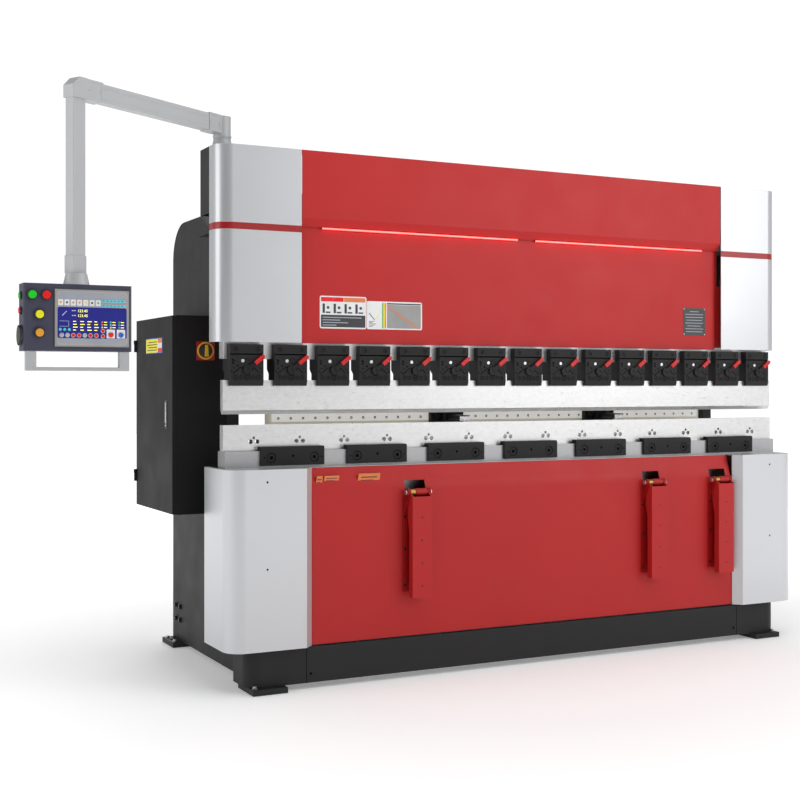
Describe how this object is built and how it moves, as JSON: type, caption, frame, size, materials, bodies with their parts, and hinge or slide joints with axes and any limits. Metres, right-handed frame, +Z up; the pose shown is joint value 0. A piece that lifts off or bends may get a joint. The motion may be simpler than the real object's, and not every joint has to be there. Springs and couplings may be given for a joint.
{
  "type": "press brake",
  "caption": "Hydraulic sheet-metal press brake: C-frame, moving ram with clamped punch, die rail, back gauge, folding sheet supports and swing-arm console.",
  "frame": {"origin": "floor-level centre of the four anchor holes in the feet", "axes": "+X along the bend to the right as seen from the front, +Y towards the back of the machine, +Z up"},
  "size_m": [4.1876, 1.6013, 2.5975],
  "materials": {
    "frame_steel": "satin black paint",
    "machined_steel": "ground and lightly oiled",
    "rod_chrome": "polished rod",
    "cylinder_paint": "dark grey paint",
    "cover_silver": "metallic silver paint",
    "panel_red": "satin red paint",
    "clamp_black": "black oxide",
    "lever_red": "gloss red coating",
    "console_arm_grey": "powder coated",
    "console_blue_grey": "textured powder coat",
    "button_green": "gloss",
    "button_yellow": "gloss",
    "button_amber": "gloss",
    "gauge_beam_steel": "clear anodised"
  },
  "bodies": {
    "frame": {"side_frame_left": "frame_steel", "side_frame_right": "frame_steel", "cross_members": "frame_steel", "table_beam": "machined_steel", "anchor_feet": "frame_steel", "base_plinth": "frame_steel", "die_rail": "machined_steel", "die_clamps": "clamp_black", "cylinder_barrels": "cylinder_paint", "cylinder_shelves": "machined_steel", "ram_guides": "machined_steel", "lower_cover_left": "cover_silver", "lower_cover_right": "cover_silver", "upper_cover_left": "cover_silver", "upper_cover_right": "cover_silver", "cylinder_hoods": "frame_steel", "upper_front_panel": "panel_red", "lower_front_panel": "panel_red", "support_brackets": "panel_red", "electrical_cabinet": "frame_steel", "console_post": "console_arm_grey", "backgauge_guides": "frame_steel", "hydraulic_power_pack": "cylinder_paint"},
    "ram": {"ram_beam": "machined_steel", "ram_front_panel": "panel_red", "punch": "machined_steel", "tool_clamps": "clamp_black", "piston_rods": "rod_chrome"},
    "door": {"cabinet_door": "frame_steel"},
    "main_switch": {"main_switch_knob": "lever_red"},
    "console_arm": {"console_arm": "console_arm_grey"},
    "console": {"console_box": "console_blue_grey", "console_handle": "console_arm_grey"},
    "backgauge": {"backgauge_beam": "gauge_beam_steel"},
    "finger_left": {"gauge_finger_left": "clamp_black"},
    "finger_right": {"gauge_finger_right": "clamp_black"},
    "support_1": {"support_arm_1": "panel_red"},
    "support_2": {"support_arm_2": "panel_red"},
    "support_3": {"support_arm_3": "panel_red"},
    "start_button": {"start_button": "button_green"},
    "stop_button": {"stop_button": "lever_red"},
    "pump_button": {"pump_button": "button_yellow"},
    "mode_button": {"mode_button": "button_amber"},
    "side_start_button": {"side_start_button": "button_green"},
    "side_stop_button": {"side_stop_button": "lever_red"},
    "clamp_lever_01": {"clamp_lever_01": "lever_red"},
    "clamp_lever_02": {"clamp_lever_02": "lever_red"},
    "clamp_lever_03": {"clamp_lever_03": "lever_red"},
    "clamp_lever_04": {"clamp_lever_04": "lever_red"},
    "clamp_lever_05": {"clamp_lever_05": "lever_red"},
    "clamp_lever_06": {"clamp_lever_06": "lever_red"},
    "clamp_lever_07": {"clamp_lever_07": "lever_red"},
    "clamp_lever_08": {"clamp_lever_08": "lever_red"},
    "clamp_lever_09": {"clamp_lever_09": "lever_red"},
    "clamp_lever_10": {"clamp_lever_10": "lever_red"},
    "clamp_lever_11": {"clamp_lever_11": "lever_red"},
    "clamp_lever_12": {"clamp_lever_12": "lever_red"},
    "clamp_lever_13": {"clamp_lever_13": "lever_red"},
    "clamp_lever_14": {"clamp_lever_14": "lever_red"},
    "clamp_lever_15": {"clamp_lever_15": "lever_red"}
  },
  "joints": [
    {"name": "ram_stroke", "type": "slide", "parent": "frame", "child": "ram", "axis": [0, 0, -1], "range_m": [0, 0.056]},
    {"name": "cabinet_door_hinge", "type": "hinge", "parent": "frame", "child": "door", "pos_m": [-1.738, 0.422, 1.228], "axis": [0, 0, -1], "range_deg": [0, 110]},
    {"name": "main_switch_turn", "type": "hinge", "parent": "frame", "child": "main_switch", "pos_m": [-1.572, -0.208, 1.529], "axis": [0, -1, 0], "range_deg": [0, 90]},
    {"name": "console_arm_swing", "type": "hinge", "parent": "frame", "child": "console_arm", "pos_m": [-1.554, -0.383, 2.52], "axis": [0, 0, 1], "range_deg": [-30, 80]},
    {"name": "console_swivel", "type": "hinge", "parent": "console_arm", "child": "console", "pos_m": [-2.32706, -0.84384, 1.84], "axis": [0, 0, 1], "range_deg": [-90, 90]},
    {"name": "backgauge_travel", "type": "slide", "parent": "frame", "child": "backgauge", "axis": [0, 1, 0], "range_m": [-0.07, 0.4]},
    {"name": "finger_left_slide", "type": "slide", "parent": "backgauge", "child": "finger_left", "axis": [1, 0, 0], "range_m": [-0.35, 0.35]},
    {"name": "finger_right_slide", "type": "slide", "parent": "backgauge", "child": "finger_right", "axis": [1, 0, 0], "range_m": [-0.35, 0.35]},
    {"name": "support_1_fold", "type": "hinge", "parent": "frame", "child": "support_1", "pos_m": [-0.69, -0.671, 0.866], "axis": [-1, 0, 0], "range_deg": [0, 90]},
    {"name": "support_2_fold", "type": "hinge", "parent": "frame", "child": "support_2", "pos_m": [0.69, -0.671, 0.866], "axis": [-1, 0, 0], "range_deg": [0, 90]},
    {"name": "support_3_fold", "type": "hinge", "parent": "frame", "child": "support_3", "pos_m": [1.13, -0.671, 0.866], "axis": [-1, 0, 0], "range_deg": [0, 90]},
    {"name": "start_button_press", "type": "slide", "parent": "console", "child": "start_button", "axis": [0, 1, 0], "range_m": [0, 0.003], "stiffness_N_per_m": 800},
    {"name": "stop_button_press", "type": "slide", "parent": "console", "child": "stop_button", "axis": [0, 1, 0], "range_m": [0, 0.003], "stiffness_N_per_m": 800},
    {"name": "pump_button_press", "type": "slide", "parent": "console", "child": "pump_button", "axis": [0, 1, 0], "range_m": [0, 0.003], "stiffness_N_per_m": 800},
    {"name": "mode_button_press", "type": "slide", "parent": "console", "child": "mode_button", "axis": [0, 1, 0], "range_m": [0, 0.003], "stiffness_N_per_m": 800},
    {"name": "side_start_button_press", "type": "slide", "parent": "console", "child": "side_start_button", "axis": [1, 0, 0], "range_m": [0, 0.003], "stiffness_N_per_m": 800},
    {"name": "side_stop_button_press", "type": "slide", "parent": "console", "child": "side_stop_button", "axis": [1, 0, 0], "range_m": [0, 0.003], "stiffness_N_per_m": 800},
    {"name": "clamp_lever_01_turn", "type": "hinge", "parent": "ram", "child": "clamp_lever_01", "pos_m": [-1.49333, -0.548, 1.437], "axis": [0, -1, 0], "range_deg": [0, 100]},
    {"name": "clamp_lever_02_turn", "type": "hinge", "parent": "ram", "child": "clamp_lever_02", "pos_m": [-1.28, -0.548, 1.437], "axis": [0, -1, 0], "range_deg": [0, 100]},
    {"name": "clamp_lever_03_turn", "type": "hinge", "parent": "ram", "child": "clamp_lever_03", "pos_m": [-1.06667, -0.548, 1.437], "axis": [0, -1, 0], "range_deg": [0, 100]},
    {"name": "clamp_lever_04_turn", "type": "hinge", "parent": "ram", "child": "clamp_lever_04", "pos_m": [-0.85333, -0.548, 1.437], "axis": [0, -1, 0], "range_deg": [0, 100]},
    {"name": "clamp_lever_05_turn", "type": "hinge", "parent": "ram", "child": "clamp_lever_05", "pos_m": [-0.64, -0.548, 1.437], "axis": [0, -1, 0], "range_deg": [0, 100]},
    {"name": "clamp_lever_06_turn", "type": "hinge", "parent": "ram", "child": "clamp_lever_06", "pos_m": [-0.42667, -0.548, 1.437], "axis": [0, -1, 0], "range_deg": [0, 100]},
    {"name": "clamp_lever_07_turn", "type": "hinge", "parent": "ram", "child": "clamp_lever_07", "pos_m": [-0.21333, -0.548, 1.437], "axis": [0, -1, 0], "range_deg": [0, 100]},
    {"name": "clamp_lever_08_turn", "type": "hinge", "parent": "ram", "child": "clamp_lever_08", "pos_m": [0, -0.548, 1.437], "axis": [0, -1, 0], "range_deg": [0, 100]},
    {"name": "clamp_lever_09_turn", "type": "hinge", "parent": "ram", "child": "clamp_lever_09", "pos_m": [0.21333, -0.548, 1.437], "axis": [0, -1, 0], "range_deg": [0, 100]},
    {"name": "clamp_lever_10_turn", "type": "hinge", "parent": "ram", "child": "clamp_lever_10", "pos_m": [0.42667, -0.548, 1.437], "axis": [0, -1, 0], "range_deg": [0, 100]},
    {"name": "clamp_lever_11_turn", "type": "hinge", "parent": "ram", "child": "clamp_lever_11", "pos_m": [0.64, -0.548, 1.437], "axis": [0, -1, 0], "range_deg": [0, 100]},
    {"name": "clamp_lever_12_turn", "type": "hinge", "parent": "ram", "child": "clamp_lever_12", "pos_m": [0.85333, -0.548, 1.437], "axis": [0, -1, 0], "range_deg": [0, 100]},
    {"name": "clamp_lever_13_turn", "type": "hinge", "parent": "ram", "child": "clamp_lever_13", "pos_m": [1.06667, -0.548, 1.437], "axis": [0, -1, 0], "range_deg": [0, 100]},
    {"name": "clamp_lever_14_turn", "type": "hinge", "parent": "ram", "child": "clamp_lever_14", "pos_m": [1.28, -0.548, 1.437], "axis": [0, -1, 0], "range_deg": [0, 100]},
    {"name": "clamp_lever_15_turn", "type": "hinge", "parent": "ram", "child": "clamp_lever_15", "pos_m": [1.49333, -0.548, 1.437], "axis": [0, -1, 0], "range_deg": [0, 100]}
  ]
}
